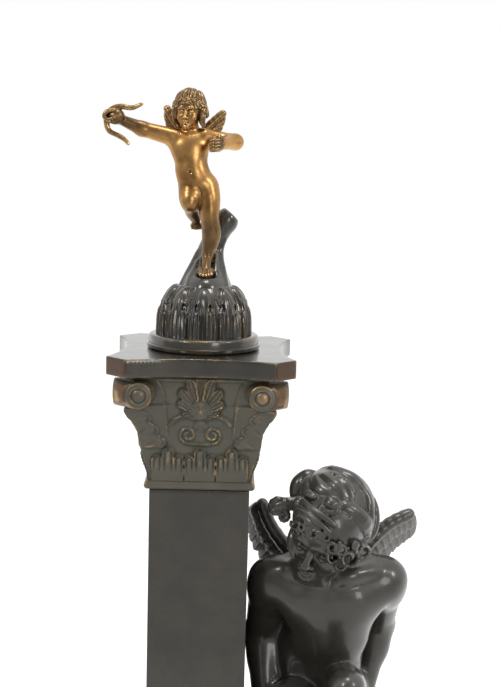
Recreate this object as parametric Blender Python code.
"""A bronze group for a shelf: a small gilt cupid with a bow on top of a square pillar,
and a larger dark winged boy sitting on a rock beside it, on one low plinth.

Metres, +Z up. The front faces -Y. The origin is the centre of the plinth's underside.
"""
import math

import bmesh
import bpy
from mathutils import Euler, Matrix, Vector

# Driving dimensions, in metres.
SEAT_GAP = 0.0003
LEFT_MARGIN = 0.027
RIGHT_MARGIN = 0.007
FRONT_MARGIN = 0.003
PLINTH_HEIGHT = 0.018
PLINTH_MOULDING = 0.004
FOOT_PROJECTION = 0.004
FOOT_HEIGHT = 0.016
SHAFT_WIDTH = 0.0496
SHAFT_HEIGHT = 0.1567
ASTRAGAL_HEIGHT = 0.0046
ASTRAGAL_PROJECTION = 0.0014
BELL_HEIGHT = 0.0536
BELL_FLARE = 0.0114
VOLUTE_RADIUS = 0.0066
VOLUTE_PROJECTION = 0.0165
ABACUS_WIDTH = 0.0914
ABACUS_HEIGHT = 0.009
ABACUS_CORNER_CUT = 0.0104
ABACUS_HOLLOW = 0.0068
RING_RADIUS = 0.0275
RING_HEIGHT = 0.0071
DOME_RADIUS = 0.0238
DOME_HEIGHT = 0.0245
MOUND_TOP = 0.0365
LEAVES_ROUND_DOME = 8
CUPID_HEIGHT = 0.091
BOY_HEIGHT = 0.271
BOY_CLEARANCE = 0.0014
ROCK_HEIGHT = 0.0237

# Triangles left on each free form after it is thinned.
BOY_TRIANGLES = 3400
CUPID_TRIANGLES = 2000
DOME_TRIANGLES = 1400
CAPITAL_TRIANGLES = 1800

# The figures are drawn in these whole heights: 271 and 91 parts from sole to crown.
BOY_PART = BOY_HEIGHT / 271.0
CUPID_PART = CUPID_HEIGHT / 91.0
# A head is drawn in 58 parts from chin to crown.
BOY_HEAD_PART = BOY_PART
CUPID_HEAD_PART = CUPID_PART * 19.0 / 58.0

# Places that follow from the sizes.
PLINTH_TOP = PLINTH_HEIGHT + SEAT_GAP
SHAFT_TOP = PLINTH_TOP + SHAFT_HEIGHT
CAPITAL_BOTTOM = SHAFT_TOP + SEAT_GAP
BELL_BOTTOM = CAPITAL_BOTTOM + ASTRAGAL_HEIGHT
CAPITAL_TOP = BELL_BOTTOM + BELL_HEIGHT
ABACUS_BOTTOM = CAPITAL_TOP + SEAT_GAP
ABACUS_TOP = ABACUS_BOTTOM + ABACUS_HEIGHT
DOME_BOTTOM = ABACUS_TOP + SEAT_GAP
CUPID_STAND = DOME_BOTTOM + MOUND_TOP
ROCK_TOP = PLINTH_TOP + ROCK_HEIGHT
BOY_SEAT = ROCK_TOP + SEAT_GAP

SHAFT_HALF = SHAFT_WIDTH / 2
BOY_REACH = 41.3 * BOY_PART
BOY_FROM_PILLAR = SHAFT_HALF + BOY_CLEARANCE + BOY_REACH
ROCK_LEFT = SHAFT_HALF + FOOT_PROJECTION + 2 * SEAT_GAP
ROCK_RIGHT = BOY_FROM_PILLAR + 38.0 * BOY_PART
ROCK_FRONT = -20.0 * BOY_PART
ROCK_BACK = 42.0 * BOY_PART
GROUP_LEFT = SHAFT_HALF + FOOT_PROJECTION + LEFT_MARGIN
GROUP_RIGHT = max(ROCK_RIGHT, BOY_FROM_PILLAR + 45.5 * BOY_PART) + RIGHT_MARGIN
PLINTH_LENGTH = GROUP_LEFT + GROUP_RIGHT
PILLAR_X = GROUP_LEFT - PLINTH_LENGTH / 2
BOY_X = PILLAR_X + BOY_FROM_PILLAR
BOY_TOES = 59.5 * BOY_PART
PLINTH_DEPTH = 2 * (BOY_TOES + FRONT_MARGIN)


def clear_scene():
    for item in list(bpy.data.objects):
        bpy.data.objects.remove(item)


def bronze(name, colour, roughness):
    material = bpy.data.materials.new(name)
    material.use_nodes = True
    shader = material.node_tree.nodes["Principled BSDF"]
    shader.inputs["Base Color"].default_value = (*colour, 1.0)
    shader.inputs["Metallic"].default_value = 1.0
    shader.inputs["Roughness"].default_value = roughness
    return material


def add_object(name, bm, material):
    mesh = bpy.data.meshes.new(name)
    bm.to_mesh(mesh)
    bm.free()
    mesh.shade_smooth()
    mesh.set_sharp_from_angle(angle=math.radians(35))
    piece = bpy.data.objects.new(name, mesh)
    mesh.materials.append(material)
    bpy.context.collection.objects.link(piece)
    return piece


def add_cutter(name, bm):
    mesh = bpy.data.meshes.new(name)
    bm.to_mesh(mesh)
    bm.free()
    cutter = bpy.data.objects.new(name, mesh)
    cutter.hide_render = True
    cutter.display_type = "WIRE"
    bpy.context.collection.objects.link(cutter)
    return cutter


def box(bm, low, high):
    made = bmesh.ops.create_cube(bm, size=1.0)["verts"]
    low, high = Vector(low), Vector(high)
    bmesh.ops.scale(bm, vec=high - low, verts=made)
    bmesh.ops.translate(bm, vec=(low + high) / 2, verts=made)
    return made


def mass(bm, centre, radii, turn=None):
    """An egg-shaped form, turned about its own centre."""
    place = Matrix.Translation(centre)
    if turn is not None:
        place = place @ turn.to_4x4()
    place = place @ Matrix.Diagonal((*radii, 1.0))
    bmesh.ops.create_icosphere(bm, subdivisions=3, radius=1.0, matrix=place)


def add_to(bm, other):
    """Adds one bmesh's forms to another."""
    mesh = bpy.data.meshes.new("forms")
    other.to_mesh(mesh)
    other.free()
    bm.from_mesh(mesh)
    bpy.data.meshes.remove(mesh)


def add_wrapped(bm, forms):
    """Adds the tight skin round some forms, with nothing left inside it."""
    hull = bmesh.ops.convex_hull(forms, input=forms.verts[:])
    inside = [item for item in hull["geom_interior"] if isinstance(item, bmesh.types.BMVert)]
    bmesh.ops.delete(forms, geom=inside, context="VERTS")
    bmesh.ops.recalc_face_normals(forms, faces=forms.faces[:])
    add_to(bm, forms)


def limb(bm, start, end, start_radius, end_radius):
    """A tapering round form between two balls."""
    balls = bmesh.new()
    for place, radius in ((start, start_radius), (end, end_radius)):
        bmesh.ops.create_icosphere(balls, subdivisions=2, radius=radius,
                                   matrix=Matrix.Translation(place))
    add_wrapped(bm, balls)


def chain(bm, places, radii):
    """Limbs end to end."""
    for k in range(len(places) - 1):
        limb(bm, places[k], places[k + 1], radii[k], radii[k + 1])


def blade(bm, root, tip, width, thickness, facing):
    """A flat leaf-shaped form from root to tip, such as a feather."""
    along = (tip - root).normalized()
    across = facing.cross(along).normalized()
    normal = along.cross(across)
    turn = Matrix((along, across, normal)).transposed()
    mass(bm, (root + tip) / 2, ((tip - root).length / 2, width / 2, thickness / 2), turn)


def bend_point(start, end, upper, lower, towards):
    """Where a limb of two lengths bends between its two ends."""
    line = end - start
    reach = min(line.length, 0.998 * (upper + lower))
    along = (upper ** 2 - lower ** 2 + reach ** 2) / (2 * reach)
    out = math.sqrt(max(upper ** 2 - along ** 2, 0.0))
    side = towards - line * (towards.dot(line) / line.length_squared)
    return start + line.normalized() * along + side.normalized() * out


def fuse(name, bm, voxel, triangles, material, smoothing=2):
    """One closed skin round all the overlapping forms, thinned to a few faces."""
    rough = add_object(name + "_forms", bm, material)
    remesh = rough.modifiers.new("Skin", "REMESH")
    remesh.mode = "VOXEL"
    remesh.voxel_size = voxel
    soft = rough.modifiers.new("Soften", "SMOOTH")
    soft.factor = 0.5
    soft.iterations = smoothing
    skin = bpy.data.meshes.new_from_object(
        rough.evaluated_get(bpy.context.evaluated_depsgraph_get()))
    bpy.data.objects.remove(rough)
    skin.name = name
    piece = bpy.data.objects.new(name, skin)
    bpy.context.collection.objects.link(piece)
    skin.materials.clear()
    skin.materials.append(material)
    skin.shade_smooth()
    faces = sum(len(face.vertices) - 2 for face in skin.polygons)
    thin = piece.modifiers.new("Thin", "DECIMATE")
    thin.ratio = min(1.0, triangles / faces)
    return piece


def cut_away(piece, cutter):
    cut = piece.modifiers.new(cutter.name, "BOOLEAN")
    cut.operation = "DIFFERENCE"
    cut.solver = "EXACT"
    cut.object = cutter


class Drawn:
    """Places and lengths of a form drawn in parts, turned and set at its own origin."""

    def __init__(self, origin, part, turn=None):
        self.origin = Vector(origin)
        self.part = part
        self.turn = turn if turn is not None else Matrix.Identity(3)

    def at(self, x, y, z):
        return self.origin + self.turn @ (Vector((x, y, z)) * self.part)

    def size(self, *lengths):
        scaled = [length * self.part for length in lengths]
        return scaled[0] if len(scaled) == 1 else scaled


def head_turn(turned, nodded, tilted):
    """The head's own frame: face to -Y, turned to its right, nodded down, tilted over."""
    return (Matrix.Rotation(-math.radians(turned), 3, "Z")
            @ Matrix.Rotation(math.radians(nodded), 3, "X")
            @ Matrix.Rotation(math.radians(tilted), 3, "Y"))


def head(bm, own):
    """A plain child's head in 58 parts from chin to crown, its middle at the origin."""
    turn = own.turn
    mass(bm, own.at(0, 2, 1), own.size(19.5, 21, 20), turn)
    mass(bm, own.at(0, -6, -10), own.size(15.5, 13.5, 18), turn)
    mass(bm, own.at(0, -12, -25.5), own.size(6.5, 6, 5.5), turn)
    limb(bm, own.at(0, -19, -4), own.at(0, -21.8, -12.5), own.size(1.8), own.size(2.5))
    mass(bm, own.at(0, -18.4, -19.5), own.size(4.2, 2.4, 2.4), turn)
    for side in (-1, 1):
        mass(bm, own.at(side * 8, -12, -13), own.size(6.5, 6.5, 7), turn)
        mass(bm, own.at(side * 6.4, -15.2, -5.8), own.size(3.6, 3.2, 2.8), turn)
        limb(bm, own.at(side * 3, -18, -0.5), own.at(side * 11, -14, -1),
             own.size(2.6), own.size(2.4))
        mass(bm, own.at(side * 17.5, 0, -8), own.size(2.6, 4, 5.5), turn)


def hair(bm, own, lobes, curls, curl_size):
    """A cap of broad lobes from the crown, with a row of curls round its edge."""
    mass(bm, own.at(0, 3.5, 4), own.size(20.5, 21.5, 20), own.turn)
    crown = Vector((0.08, 0.40, 0.91))
    for k in range(lobes):
        round_head = 2 * math.pi * (k + 0.5) / lobes
        front = max(0.0, -math.cos(round_head))
        end = Vector((math.sin(round_head), math.cos(round_head), -0.42 + 0.85 * front))
        end.normalize()
        middle = (crown + end * 1.15).normalized()
        along = (end - crown - middle * (end - crown).dot(middle)).normalized()
        across = middle.cross(along)
        lie = own.turn @ Matrix((along, across, middle)).transposed()
        swell = 1 + 0.10 * math.sin(5.1 * k)
        centre = Vector((0, 3, 3)) + middle * 13.5
        mass(bm, own.at(*centre), own.size(14.5, 8.0 * swell, 10.6 * swell), lie)
    for k in range(curls):
        round_head = 2 * math.pi * k / curls
        front = max(0.0, -math.cos(round_head))
        level = -10 + 17.5 * front ** 0.7 + 1.6 * math.sin(4.3 * k)
        place = Vector((math.sin(round_head) * 18.2, 2 + math.cos(round_head) * 19.5, level))
        swell = curl_size * (1 + 0.2 * math.sin(2.7 * k))
        mass(bm, own.at(*place), own.size(swell, swell, swell * 1.1), own.turn)


def wing(bm, own, edge, edge_radii, feathers, lean, length, width, thick, facing):
    """A short wing: a thick leading edge with a fan of feathers behind it."""
    places = [own.at(*point) for point in edge]
    chain(bm, places, own.size(*edge_radii))
    spans = len(places) - 1
    for k in range(feathers):
        share = k / (feathers - 1)
        step = min(int(share * spans), spans - 1)
        root = places[step].lerp(places[step + 1], share * spans - step)
        lean_here = Vector(lean[0]).lerp(Vector(lean[1]), share).normalized()
        reach = own.size(length[0] + (length[1] - length[0]) * share)
        blade(bm, root - lean_here * own.size(1.5), root + lean_here * reach,
              own.size(width), own.size(thick), Vector(facing))


def foot(bm, own, ankle, heel, ball, toes, radii):
    """Heel, arch and a row of toes."""
    ankle, heel, ball, toes = Vector(ankle), Vector(heel), Vector(ball), Vector(toes)
    limb(bm, own.at(*ankle), own.at(*heel), own.size(radii[0]), own.size(radii[1]))
    limb(bm, own.at(*heel), own.at(*ball), own.size(radii[1]), own.size(radii[2]))
    limb(bm, own.at(*ankle), own.at(*ball), own.size(radii[0]), own.size(radii[2]))
    across = Vector((1, 0, 0))
    for k in range(-2, 3):
        start = ball + across * (k * radii[3] * 1.25)
        end = toes + across * (k * radii[3] * 1.4) + (ball - toes) * (0.12 * abs(k + 0.5))
        limb(bm, own.at(*start), own.at(*end), own.size(radii[2] * 0.85), own.size(radii[3]))


def rising_block(bm, half_x, half_y, profile):
    """A rectangular block whose sides follow (projection, height) points."""
    corners = ((-1, -1), (1, -1), (1, 1), (-1, 1))
    out, level = profile[0]
    face = bm.faces.new([bm.verts.new((sx * (half_x + out), sy * (half_y + out), level))
                         for sx, sy in corners])
    for k, (out, level) in enumerate(profile[1:]):
        grown = bmesh.ops.extrude_face_region(bm, geom=[face])["geom"]
        if k > 0:
            bm.faces.remove(face)
        face = next(item for item in grown if isinstance(item, bmesh.types.BMFace))
        for vert in face.verts:
            side_x = math.copysign(half_x + out, vert.co.x)
            side_y = math.copysign(half_y + out, vert.co.y)
            vert.co = (side_x, side_y, level)
    bmesh.ops.recalc_face_normals(bm, faces=bm.faces[:])


def hollow(low, high, steps):
    """Points of a hollow quarter round between two (projection, height) points."""
    points = []
    for k in range(steps + 1):
        angle = 0.5 * math.pi * k / steps
        points.append((low[0] + (high[0] - low[0]) * math.sin(angle),
                       low[1] + (high[1] - low[1]) * (1 - math.cos(angle))))
    return points


def bead(low, high, projection, steps):
    """Points of a half-round bead that stands out between two heights."""
    points = []
    for k in range(steps + 1):
        angle = math.pi * k / steps
        points.append((projection * math.sin(angle),
                       low + (high - low) * 0.5 * (1 - math.cos(angle))))
    return points


def rolled_sheet(bm, round_steps, up_steps, place):
    """A flat sheet rolled into a tube and closed at both ends."""
    sheet = bmesh.ops.create_grid(
        bm, x_segments=round_steps, y_segments=up_steps, size=0.5)["verts"]
    for vert in sheet:
        vert.co = place(vert.co.x + 0.5, vert.co.y + 0.5)
    bmesh.ops.remove_doubles(bm, verts=sheet, dist=1e-6)
    rim = [edge for edge in bm.edges if edge.is_boundary]
    bmesh.ops.holes_fill(bm, edges=rim)
    bmesh.ops.recalc_face_normals(bm, faces=bm.faces[:])


def make_plinth(material):
    """A low plinth: a plain block, a hollow moulding and a set-back top."""
    bm = bmesh.new()
    step = PLINTH_MOULDING
    profile = [(0.0, 0.0), (0.0, 0.5 * PLINTH_HEIGHT), (-0.25 * step, 0.5 * PLINTH_HEIGHT)]
    profile += hollow((-0.3 * step, 0.55 * PLINTH_HEIGHT), (-step, 0.85 * PLINTH_HEIGHT), 5)
    profile += [(-1.15 * step, 0.86 * PLINTH_HEIGHT), (-1.15 * step, PLINTH_HEIGHT)]
    rising_block(bm, PLINTH_LENGTH / 2, PLINTH_DEPTH / 2, profile)
    return add_object("plinth", bm, material)


def make_shaft(material):
    """The square pillar, with a plain moulded foot."""
    bm = bmesh.new()
    out = FOOT_PROJECTION
    profile = [(out, 0.0), (out, 0.45 * FOOT_HEIGHT), (0.8 * out, 0.48 * FOOT_HEIGHT)]
    profile += hollow((0.75 * out, 0.52 * FOOT_HEIGHT), (0.12 * out, 0.95 * FOOT_HEIGHT), 5)
    profile += [(0.0, FOOT_HEIGHT), (0.0, SHAFT_HEIGHT)]
    rising_block(bm, SHAFT_HALF, SHAFT_HALF, profile)
    piece = add_object("pillar_shaft", bm, material)
    piece.location = (PILLAR_X, 0, PLINTH_TOP)
    return piece


def eased(low, high, value):
    """0 below low, 1 above high, and a smooth rise between."""
    share = min(1.0, max(0.0, (value - low) / (high - low)))
    return share * share * (3 - 2 * share)


def bell_corner(up):
    """How far the capital's corner stands out of the shaft, as a share of its flare."""
    return 0.30 * eased(0.0, 0.30, up) + 0.16 * eased(0.22, 0.52, up) + \
        0.54 * eased(0.46, 0.72, up) - 0.35 * eased(0.715, 0.74, up)


def bell_middle(up):
    """The same at the middle of a side."""
    return 0.28 * eased(0.0, 0.30, up) + 0.10 * eased(0.3, 0.6, up) + \
        0.50 * eased(0.55, 0.98, up)


def side_carving(across, up):
    """Height of the carving on one side: across from -1 to 1, up from 0 to 1."""
    raised = 0.0
    for k in (-1, 0, 1):
        offset = abs(across - 0.62 * k)
        if offset < 0.17 and up < 0.31 - 4.0 * offset ** 2:
            raised = max(raised, 1.3 - 14.0 * max(0.0, 0.07 - offset))
        for side in (-1, 1):
            beside = abs(across - 0.62 * k - side * 0.2)
            if beside < 0.115 and up < 0.235 - 7.0 * beside ** 2:
                raised = max(raised, 1.0)
    leaf_edge = 0.66 + 0.26 * eased(0.25, 0.68, up) + 0.03 * math.sin(up * 52)
    if abs(across) > leaf_edge and up < 0.71:
        raised = max(raised, 1.5)
    stalk_edge = 0.60 + 0.30 * eased(0.62, 1.0, up) ** 2
    if abs(across) > stalk_edge and up > 0.3:
        raised = max(raised, 0.8)
    fan_x = across * 0.60
    fan_y = up - 0.63
    fan_angle = math.atan2(fan_x, max(fan_y, 1e-6))
    fan_reach = math.hypot(fan_x, fan_y)
    fan_edge = 0.235 + 0.11 * math.cos(fan_angle) ** 3 + 0.018 * abs(math.sin(fan_angle * 3.5))
    if fan_y > -0.03 and fan_reach < fan_edge:
        raised = max(raised, 1.0 + 0.5 * abs(math.cos(fan_angle * 3.5)))
    if math.hypot(fan_x, up - 0.62) < 0.045:
        raised = max(raised, 1.8)
    for side in (-1, 1):
        scroll = math.hypot(fan_x - side * 0.13, up - 0.44)
        if abs(scroll - 0.05) < 0.018:
            raised = max(raised, 0.9)
        arm = abs(up - 0.60 + 0.9 * (abs(fan_x) - 0.12) ** 2 * 4)
        if 0.03 < side * fan_x < 0.26 and arm < 0.016:
            raised = max(raised, 0.9)
    return raised * 0.001


def make_capital(material):
    """Astragal, flared bell with leaves and a palmette, and four corner volutes."""
    bm = bmesh.new()
    bead_points = bead(0.0, ASTRAGAL_HEIGHT, ASTRAGAL_PROJECTION, 8)
    rising_block(bm, SHAFT_HALF, SHAFT_HALF, bead_points)
    bell = bmesh.new()

    def place(turn, up):
        side = math.floor(turn * 4 * 0.99999)
        across = (turn * 4 - side) * 2 - 1
        corner = SHAFT_HALF + BELL_FLARE * bell_corner(up)
        middle = SHAFT_HALF + BELL_FLARE * bell_middle(up)
        depth = middle + (corner - middle) * abs(across) ** 2.4
        carved = side_carving(across, up) * eased(0.0, 0.04, 1.0 - up)
        slant = across ** 5
        length = math.hypot(1.0, slant)
        point = Vector((across * corner + carved * slant / length,
                        -depth - carved / length, up * BELL_HEIGHT))
        point.rotate(Euler((0, 0, side * math.pi / 2)))
        return point + Vector((0, 0, ASTRAGAL_HEIGHT * 0.98))

    rolled_sheet(bell, 4 * 56, 76, place)
    add_to(bm, bell)
    volute_level = ASTRAGAL_HEIGHT + BELL_HEIGHT - VOLUTE_RADIUS - 0.002
    outer = SHAFT_HALF + VOLUTE_PROJECTION
    inner = outer - 0.0118
    for k in range(4):
        turn = Matrix.Rotation(k * math.pi / 2, 4, "Z")
        roll = bmesh.new()
        for x, y, axis in ((-inner, -outer, "X"), (-outer, -inner, "Y")):
            stand = Matrix.Translation((x, y, volute_level)) @ Matrix.Rotation(math.pi / 2, 4, axis)
            bmesh.ops.create_cone(roll, cap_ends=True, segments=28, radius1=VOLUTE_RADIUS,
                                  radius2=VOLUTE_RADIUS, depth=0.0008, matrix=turn @ stand)
            bmesh.ops.create_cone(bm, cap_ends=True, segments=20, radius1=VOLUTE_RADIUS * 0.58,
                                  radius2=VOLUTE_RADIUS * 0.58, depth=0.0028,
                                  matrix=turn @ stand)
        back = turn @ Vector((-SHAFT_HALF, -SHAFT_HALF, volute_level + 0.001))
        bmesh.ops.create_icosphere(roll, subdivisions=2, radius=VOLUTE_RADIUS * 0.8,
                                   matrix=Matrix.Translation(back))
        add_wrapped(bm, roll)
    piece = fuse("capital", bm, 0.00045, CAPITAL_TRIANGLES, material, 1)
    piece.location = (PILLAR_X, 0, CAPITAL_BOTTOM)
    return piece


def make_abacus(material):
    """A plate with hollow sides and cut corners."""
    bm = bmesh.new()
    half = ABACUS_WIDTH / 2
    inner = half - ABACUS_CORNER_CUT
    steps = 10
    outline = []
    for side in range(4):
        for k in range(steps + 1):
            share = 2 * k / steps - 1
            point = Vector((share * inner, -half + ABACUS_HOLLOW * (1 - share ** 2), 0))
            point.rotate(Euler((0, 0, side * math.pi / 2)))
            outline.append(bm.verts.new(point))
    face = bm.faces.new(outline)
    grown = bmesh.ops.extrude_face_region(bm, geom=[face])["geom"]
    risen = [item for item in grown if isinstance(item, bmesh.types.BMVert)]
    bmesh.ops.translate(bm, vec=(0, 0, ABACUS_HEIGHT), verts=risen)
    bmesh.ops.recalc_face_normals(bm, faces=bm.faces[:])
    rims = [edge for edge in bm.edges
            if abs(edge.verts[0].co.z - edge.verts[1].co.z) < 1e-6]
    bmesh.ops.bevel(bm, geom=rims, offset=0.0007, affect="EDGES", segments=2, profile=0.5,
                    material=-1)
    piece = add_object("abacus", bm, material)
    piece.location = (PILLAR_X, 0, ABACUS_BOTTOM)
    return piece


def leaf_carving(turn, up):
    """Height of the dome's leaves: turn and up run from 0 to 1."""
    pitch = turn * LEAVES_ROUND_DOME
    across = abs((pitch - math.floor(pitch)) * 2 - 1)
    edge = (1 - eased(0.52, 1.02, up)) * 0.98 + 0.05 * abs(math.sin(up * 22))
    raised = 0.0
    if across < edge:
        raised = 1.5 + 0.8 * eased(0.7, 1.0, up) - 0.5 * max(0.0, 1 - across / 0.12)
        raised -= 0.25 * (1 + math.cos(across * 22)) * (1 - up)
    behind = abs(((pitch + 0.5) - math.floor(pitch + 0.5)) * 2 - 1)
    if behind < 0.34 * (1 - eased(0.6, 0.95, up)):
        raised = max(raised, 0.9)
    return raised * 0.001


def make_dome(material):
    """Ring, leaf dome, and the mound that runs up into a broken stump."""
    bm = bmesh.new()
    edge = 0.16 * RING_HEIGHT
    profile = [(RING_RADIUS - 0.0006, 0.0), (RING_RADIUS, 0.0008),
               (RING_RADIUS, 0.3 * RING_HEIGHT), (RING_RADIUS - 0.0007, 0.36 * RING_HEIGHT),
               (RING_RADIUS - 0.0007, 0.8 * RING_HEIGHT), (RING_RADIUS - edge, RING_HEIGHT)]

    def ring_place(turn, up):
        step = min(int(up * (len(profile) - 1) + 1e-6), len(profile) - 1)
        angle = turn * 2 * math.pi
        radius, level = profile[step]
        return Vector((radius * math.sin(angle), -radius * math.cos(angle), level))

    rolled_sheet(bm, 96, len(profile) - 1, ring_place)
    dome = bmesh.new()

    def dome_place(turn, up):
        radius = DOME_RADIUS * (1 - 0.37 * up ** 3.2) - 0.0015 + leaf_carving(turn, up)
        angle = (turn + 0.5 / LEAVES_ROUND_DOME) * 2 * math.pi
        level = RING_HEIGHT * 0.98 + up * DOME_HEIGHT
        return Vector((radius * math.sin(angle), -radius * math.cos(angle), level))

    rolled_sheet(dome, LEAVES_ROUND_DOME * 24, 48, dome_place)
    add_to(bm, dome)
    spot = Drawn((0, 0, 0), MOUND_TOP / 36.5)
    sections = ((0.0, 0.0, 27.0, 14.6, 0), (0.5, 0.2, 31.0, 13.3, 0), (0.9, 2.6, 34.2, 11.5, 0),
                (1.3, 5.4, 37.2, 9.6, 0), (1.5, 8.4, 40.2, 7.9, 0), (1.8, 10.2, 43.2, 6.6, 2),
                (2.3, 11.0, 46.5, 5.7, 8), (3.3, 11.2, 50.5, 5.1, 16), (5.2, 11.0, 55.0, 4.7, 24),
                (7.8, 10.8, 59.8, 4.5, 32), (10.4, 10.6, 64.0, 4.9, 40), (12.6, 10.4, 66.6, 5.4, 46))
    mound = bmesh.new()

    def mound_place(turn, up):
        x, y, z, radius, tilt = between(sections, up)
        angle = turn * 2 * math.pi
        rough = 1 + 0.035 * math.sin(3 * angle + 9 * up) * eased(0.4, 0.8, up)
        across = radius * rough * math.sin(angle)
        lean = math.radians(tilt)
        return spot.at(x + across * math.cos(lean), y - radius * rough * math.cos(angle),
                       z - across * math.sin(lean))

    rolled_sheet(mound, 40, 44, mound_place)
    add_to(bm, mound)
    mass(bm, spot.at(1.9, -7.6, 33.6), spot.size(5.4, 5.0, 3.9))
    piece = fuse("leaf_dome", bm, 0.00045, DOME_TRIANGLES, material, 1)
    cutter = bmesh.new()
    box(cutter, spot.at(-5, -16, 36.5), spot.at(8.5, -4.4, 44))
    cut_away(piece, add_cutter("foot_space", cutter))
    piece.location = (PILLAR_X, 0, DOME_BOTTOM)
    bpy.data.objects["foot_space"].location = piece.location
    return piece


def between(rows, share):
    """A smooth reading between equally spaced rows of numbers."""
    place = share * (len(rows) - 1)
    k = min(int(place), len(rows) - 2)
    t = place - k
    before, after = rows[max(k - 1, 0)], rows[min(k + 2, len(rows) - 1)]
    found = []
    for a, b, c, d in zip(before, rows[k], rows[k + 1], after):
        found.append(b + 0.5 * t * (c - a + t * (2 * a - 5 * b + 4 * c - d
                                                 + t * (3 * (b - c) + d - a))))
    return found


def make_cupid(material):
    """The gilt cupid: one foot on the mound, bow held out, the other arm bent to draw."""
    bm = bmesh.new()
    own = Drawn((PILLAR_X, 0, CUPID_STAND + SEAT_GAP), CUPID_PART)
    at, size = own.at, own.size
    mass(bm, at(-7.2, 0.3, 61.0), size(9.0, 6.2, 7.6))
    mass(bm, at(-6.2, -0.5, 52.0), size(7.9, 6.3, 8.2))
    mass(bm, at(-2.8, 0.2, 44.8), size(9.2, 6.6, 6.4))
    limb(bm, at(-13.8, 0, 65.6), at(-0.6, 0.8, 66.4), size(4.2), size(4.2))
    mass(bm, at(-11.2, -4.0, 62.0), size(4.2, 2.6, 3.4))
    mass(bm, at(-3.4, -4.0, 62.2), size(4.2, 2.6, 3.4))
    mass(bm, at(-6.0, 4.2, 42.6), size(5.2, 4.6, 5.4))
    mass(bm, at(1.6, 4.0, 43.2), size(5.4, 4.8, 5.6))
    limb(bm, at(-6.4, 1.2, 67.0), at(-6.9, -0.4, 74.0), size(4.2), size(3.8))
    chain(bm, [at(-14.8, 0, 66.2), at(-30.4, -1.5, 70.0), at(-40.2, -4, 74.0)],
          size(4.3, 3.4, 2.4))
    chain(bm, [at(-0.2, 0.8, 66.4), at(15.0, 3.6, 64.6), at(6.6, -8.0, 63.4)],
          size(4.2, 3.7, 2.4))
    mass(bm, at(-44.2, -5.0, 76.0), size(3.6, 3.4, 3.4))
    mass(bm, at(6.0, -10.2, 63.2), size(3.4, 3.0, 3.3))
    chain(bm, [at(2.0, 0.6, 42.6), at(3.2, -2.2, 28.6), at(2.0, -0.6, 10.6)],
          size(6.4, 4.1, 2.6))
    mass(bm, at(3.4, 0.4, 21.0), size(3.9, 3.9, 6.6))
    chain(bm, [at(-6.0, 0.8, 42.6), at(-7.0, -9.4, 35.2), at(-3.8, 5.4, 29.6)],
          size(6.2, 4.6, 2.6))
    mass(bm, at(-5.8, -1.0, 32.2), size(3.7, 5.4, 3.6))
    chain(bm, [at(-3.8, 5.4, 29.6), at(-3.3, 8.2, 27.2), at(-3.4, 8.6, 22.6)],
          size(2.5, 2.4, 1.9))
    foot(bm, own, (2.0, -0.6, 10.6), (1.8, 0.6, 7.8), (1.9, -6.4, 3.0), (2.0, -10.4, 0.9),
         (2.5, 2.2, 1.7, 0.8))
    bow = ((-30.0, -7.0, 82.6), (-34.1, -6.4, 80.8), (-37.3, -6.0, 80.6), (-40.3, -5.6, 81.2),
           (-43.7, -5.3, 80.7), (-46.6, -5.1, 79.0), (-48.5, -5.0, 75.8), (-48.6, -5.0, 71.9),
           (-47.0, -5.2, 68.6), (-42.5, -5.6, 66.6), (-39.2, -6.2, 64.8), (-36.9, -6.8, 62.4))
    last = len(bow) - 1
    widths = [1.45 - 0.65 * abs(2 * k / last - 1) ** 2 for k in range(last + 1)]
    chain(bm, [at(*point) for point in bow], size(*widths))
    limb(bm, at(-44.2, -5.0, 76.0), at(-48.0, -5.0, 76.4), size(2.8), size(2.2))
    limb(bm, at(-44.2, -5.0, 76.6), at(-45.4, -5.1, 79.2), size(2.6), size(1.9))
    down_out = ((-0.55, 0.65, -0.5), (-0.1, 0.55, -0.8))
    wing(bm, own, ((-9.0, 5.4, 66.5), (-13.5, 6.6, 72.5), (-20.0, 7.4, 80.2)),
         (2.0, 1.8, 1.5), 8, down_out[::-1], (9.0, 6.0), 5.2, 1.9, (0.3, -0.7, -0.4))
    down_out = ((0.55, 0.65, -0.5), (0.1, 0.55, -0.8))
    wing(bm, own, ((-3.0, 5.4, 66.8), (1.5, 6.6, 72.5), (8.0, 7.4, 79.4)),
         (2.0, 1.8, 1.5), 8, down_out[::-1], (9.0, 6.0), 5.2, 1.9, (-0.3, -0.7, -0.4))
    face = Drawn(at(-7.0, -0.6, 80.2), CUPID_HEAD_PART, head_turn(14, 2, 2))
    head(bm, face)
    hair(bm, face, 8, 15, 4.4)
    piece = fuse("gilt_cupid", bm, 0.0004 * CUPID_HEIGHT / 0.091, CUPID_TRIANGLES, material, 1)
    cutter = bmesh.new()
    box(cutter, at(-12, -20, -8), at(14, 4, 0))
    cut_away(piece, add_cutter("mound_space", cutter))
    return piece


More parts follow.
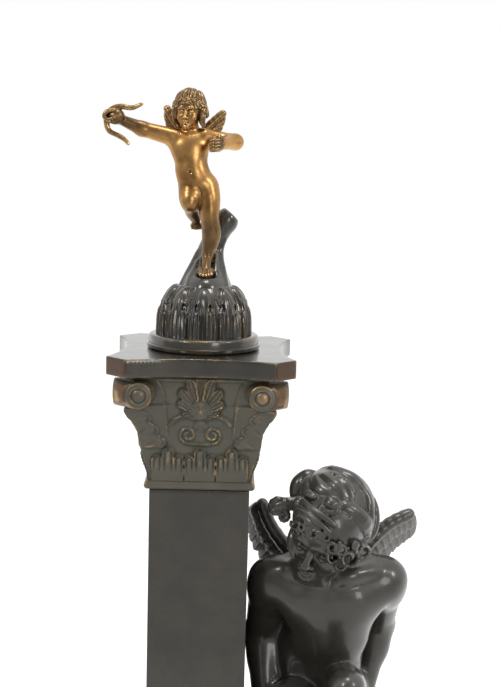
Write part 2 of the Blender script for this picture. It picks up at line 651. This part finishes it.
def make_rock(material):
    """A low rock with a flat top and rough sides."""
    bm = bmesh.new()
    middle_x = (ROCK_LEFT + ROCK_RIGHT) / 2
    middle_y = (ROCK_FRONT + ROCK_BACK) / 2
    half_x = (ROCK_RIGHT - ROCK_LEFT) / 2
    half_y = (ROCK_BACK - ROCK_FRONT) / 2

    def place(turn, up):
        angle = turn * 2 * math.pi
        c, s = math.cos(angle), math.sin(angle)
        reach = (abs(c) ** 5 + abs(s) ** 5) ** -0.2
        rough = 0.035 + 0.022 * math.sin(5 * angle + 4 * up) + 0.014 * math.sin(11 * angle - 7 * up)
        inward = 1 - rough - 0.05 * up - 0.03 * eased(0.8, 1.0, up)
        return Vector((middle_x + half_x * reach * c * inward,
                       middle_y + half_y * reach * s * inward, up * ROCK_HEIGHT))

    rolled_sheet(bm, 44, 6, place)
    piece = add_object("rock_seat", bm, material)
    piece.location = (PILLAR_X, 0, PLINTH_TOP)
    return piece


def hand_flat(bm, own, wrist, reach, across):
    """A hand laid flat: palm, four fingers and a thumb, with the palm's heel at the wrist."""
    wrist, reach, across = Vector(wrist), Vector(reach), Vector(across)
    palm = wrist + reach * 7.0
    palm.z = 4.4
    limb(bm, own.at(*wrist), own.at(*palm), own.size(5.0), own.size(4.6))
    for k in range(-1, 3):
        side = across * (3.1 * (k - 0.5))
        knuckle = palm + side * 0.9 + reach * 2.0
        tip = palm + side * 1.25 + reach * (13.0 - 0.9 * abs(k - 0.5))
        knuckle.z, tip.z = 3.2, 1.9
        limb(bm, own.at(*knuckle), own.at(*tip), own.size(2.5), own.size(1.9))
    thumb = palm + across * 7.5 + reach * 3.0
    thumb.z = 2.2
    limb(bm, own.at(*palm), own.at(*thumb), own.size(3.0), own.size(2.1))


def make_boy(material):
    """The dark winged boy: seated, leaning on straight arms, head bowed to his right."""
    bm = bmesh.new()
    own = Drawn((BOY_X, 0, BOY_SEAT), BOY_PART)
    at, size = own.at, own.size
    floor = -(ROCK_HEIGHT / BOY_PART)
    mass(bm, at(2, 17, 13.8), size(18.5, 15.5, 14.8))
    mass(bm, at(-7, 21, 10), size(10.5, 11, 11))
    mass(bm, at(11, 21, 10), size(10.5, 11, 11))
    mass(bm, at(3.5, 10, 31), size(14.6, 12.6, 17))
    mass(bm, at(3, 5, 48), size(18.5, 14.5, 14.5))
    mass(bm, at(1, 1, 65), size(25.5, 17, 17.5))
    mass(bm, at(0.5, 0, 76), size(28.5, 15.5, 15))
    mass(bm, at(-10.5, -9, 71), size(13, 7.5, 10))
    mass(bm, at(13, -9, 72), size(13, 7.5, 10))
    limb(bm, at(-26, 0, 84), at(28, 1, 87), size(9.4), size(9.4))
    for side in (-1, 1):
        limb(bm, at(side * 4, 1, 92), at(1 + side * 24, 1, 86), size(11), size(9))
        limb(bm, at(side * 17, -4, 74), at(side * 29, -1, 80), size(10), size(9))
        mass(bm, at(1 + side * 12, 12, 72), size(10.5, 7, 15))
    limb(bm, at(0, 2, 90), at(-2, -13, 108), size(12), size(10.5))
    arms = ((at(-31.6, -1, 83), at(-29.6, 2, 9.5), Vector((-0.1, 1, 0.1)), (0.12, -0.99, 0), (1, 0.12, 0)),
            (at(30.6, 1, 85), at(24.5, 23, 10), Vector((0.6, 0.6, 0)), (0.5, 0.86, 0), (-0.86, 0.5, 0)))
    for shoulder, wrist, outward, reach, across in arms:
        elbow = bend_point(shoulder, wrist, size(43), size(37), outward)
        mass(bm, shoulder.lerp(elbow, 0.14), size(9.4, 9.6, 12.5))
        chain(bm, [shoulder, elbow, wrist], size(8.7, 7.3, 5.0))
        mass(bm, elbow.lerp(wrist, 0.3), size(7.4, 7.4, 10))
        local = (wrist - own.origin) / own.part
        hand_flat(bm, own, local, reach, across)
    legs = ((at(-6.5, 16, 14), at(-13.5, -33, floor + 12), -1),
            (at(11.5, 16, 14), at(6.5, -31, floor + 12), 1))
    for hip, ankle, side in legs:
        knee = bend_point(hip, ankle, size(66), size(54), Vector((0.02 * side, -0.5, 1)))
        chain(bm, [hip, hip.lerp(knee, 0.5), knee, ankle], size(14.0, 12.4, 9.0, 5.6))
        mass(bm, knee.lerp(ankle, 0.38) + Vector((0, size(2.6), 0)), size(8.6, 9.2, 16))
        foot_x = (ankle.x - own.origin.x) / own.part
        toe_y = -(BOY_TOES / BOY_PART) + 3.2
        foot(bm, own, (foot_x, (ankle.y / own.part), floor + 12),
             (foot_x, toe_y + 27.5, floor + 5.4), (foot_x + side, toe_y + 7.5, floor + 4.6),
             (foot_x + side * 1.5, toe_y, floor + 2.5), (5.6, 5.4, 4.8, 2.1))
    wing(bm, own, ((-10, 16, 80), (-21, 17.5, 90), (-31, 19.5, 104), (-36.5, 21, 116)),
         (5.0, 4.6, 4.2, 3.6), 8, ((0.1, 0.55, -0.8), (-0.22, 0.62, -0.72)), (26, 22), 9.5, 3.6,
         (0.9, 0.35, -0.2))
    wing(bm, own, ((10, 16, 82), (22, 16, 96), (33, 17.5, 108), (41, 19, 112)),
         (5.0, 4.6, 4.2, 3.6), 8, ((0.15, 0.55, -0.8), (-0.12, 0.62, -0.72)), (26, 24), 9.5, 3.6,
         (-0.55, 0.7, -0.3))
    face = Drawn(at(-1.5, -17, 118.5), BOY_HEAD_PART, head_turn(34, 34, 28))
    head(bm, face)
    hair(bm, face, 9, 17, 4.6)
    mass(bm, face.at(-19.5, -11, 9), face.size(6.2, 5, 5))
    mass(bm, face.at(5, -17, 19), face.size(6.0, 6, 5.5))
    piece = fuse("winged_boy", bm, 0.0011 * BOY_HEIGHT / 0.271, BOY_TRIANGLES, material, 2)
    low = own.origin.z - 0.06
    front = ROCK_FRONT
    seat = bmesh.new()
    box(seat, (BOY_X - 0.08, front, low), (BOY_X + 0.08, 0.09, BOY_SEAT))
    cut_away(piece, add_cutter("rock_space", seat))
    ground = bmesh.new()
    box(ground, (BOY_X - 0.08, -0.12, low), (BOY_X + 0.08, front + 0.001, PLINTH_TOP))
    cut_away(piece, add_cutter("plinth_space", ground))
    return piece


def main():
    clear_scene()
    dark = bronze("dark_bronze", (0.060, 0.052, 0.044), 0.25)
    satin = bronze("satin_bronze", (0.095, 0.085, 0.065), 0.42)
    gilt = bronze("gilt_bronze", (0.52, 0.30, 0.11), 0.28)
    make_plinth(dark)
    make_rock(dark)
    make_shaft(dark)
    make_capital(satin)
    make_abacus(dark)
    make_dome(dark)
    make_cupid(gilt)
    make_boy(dark)


main()
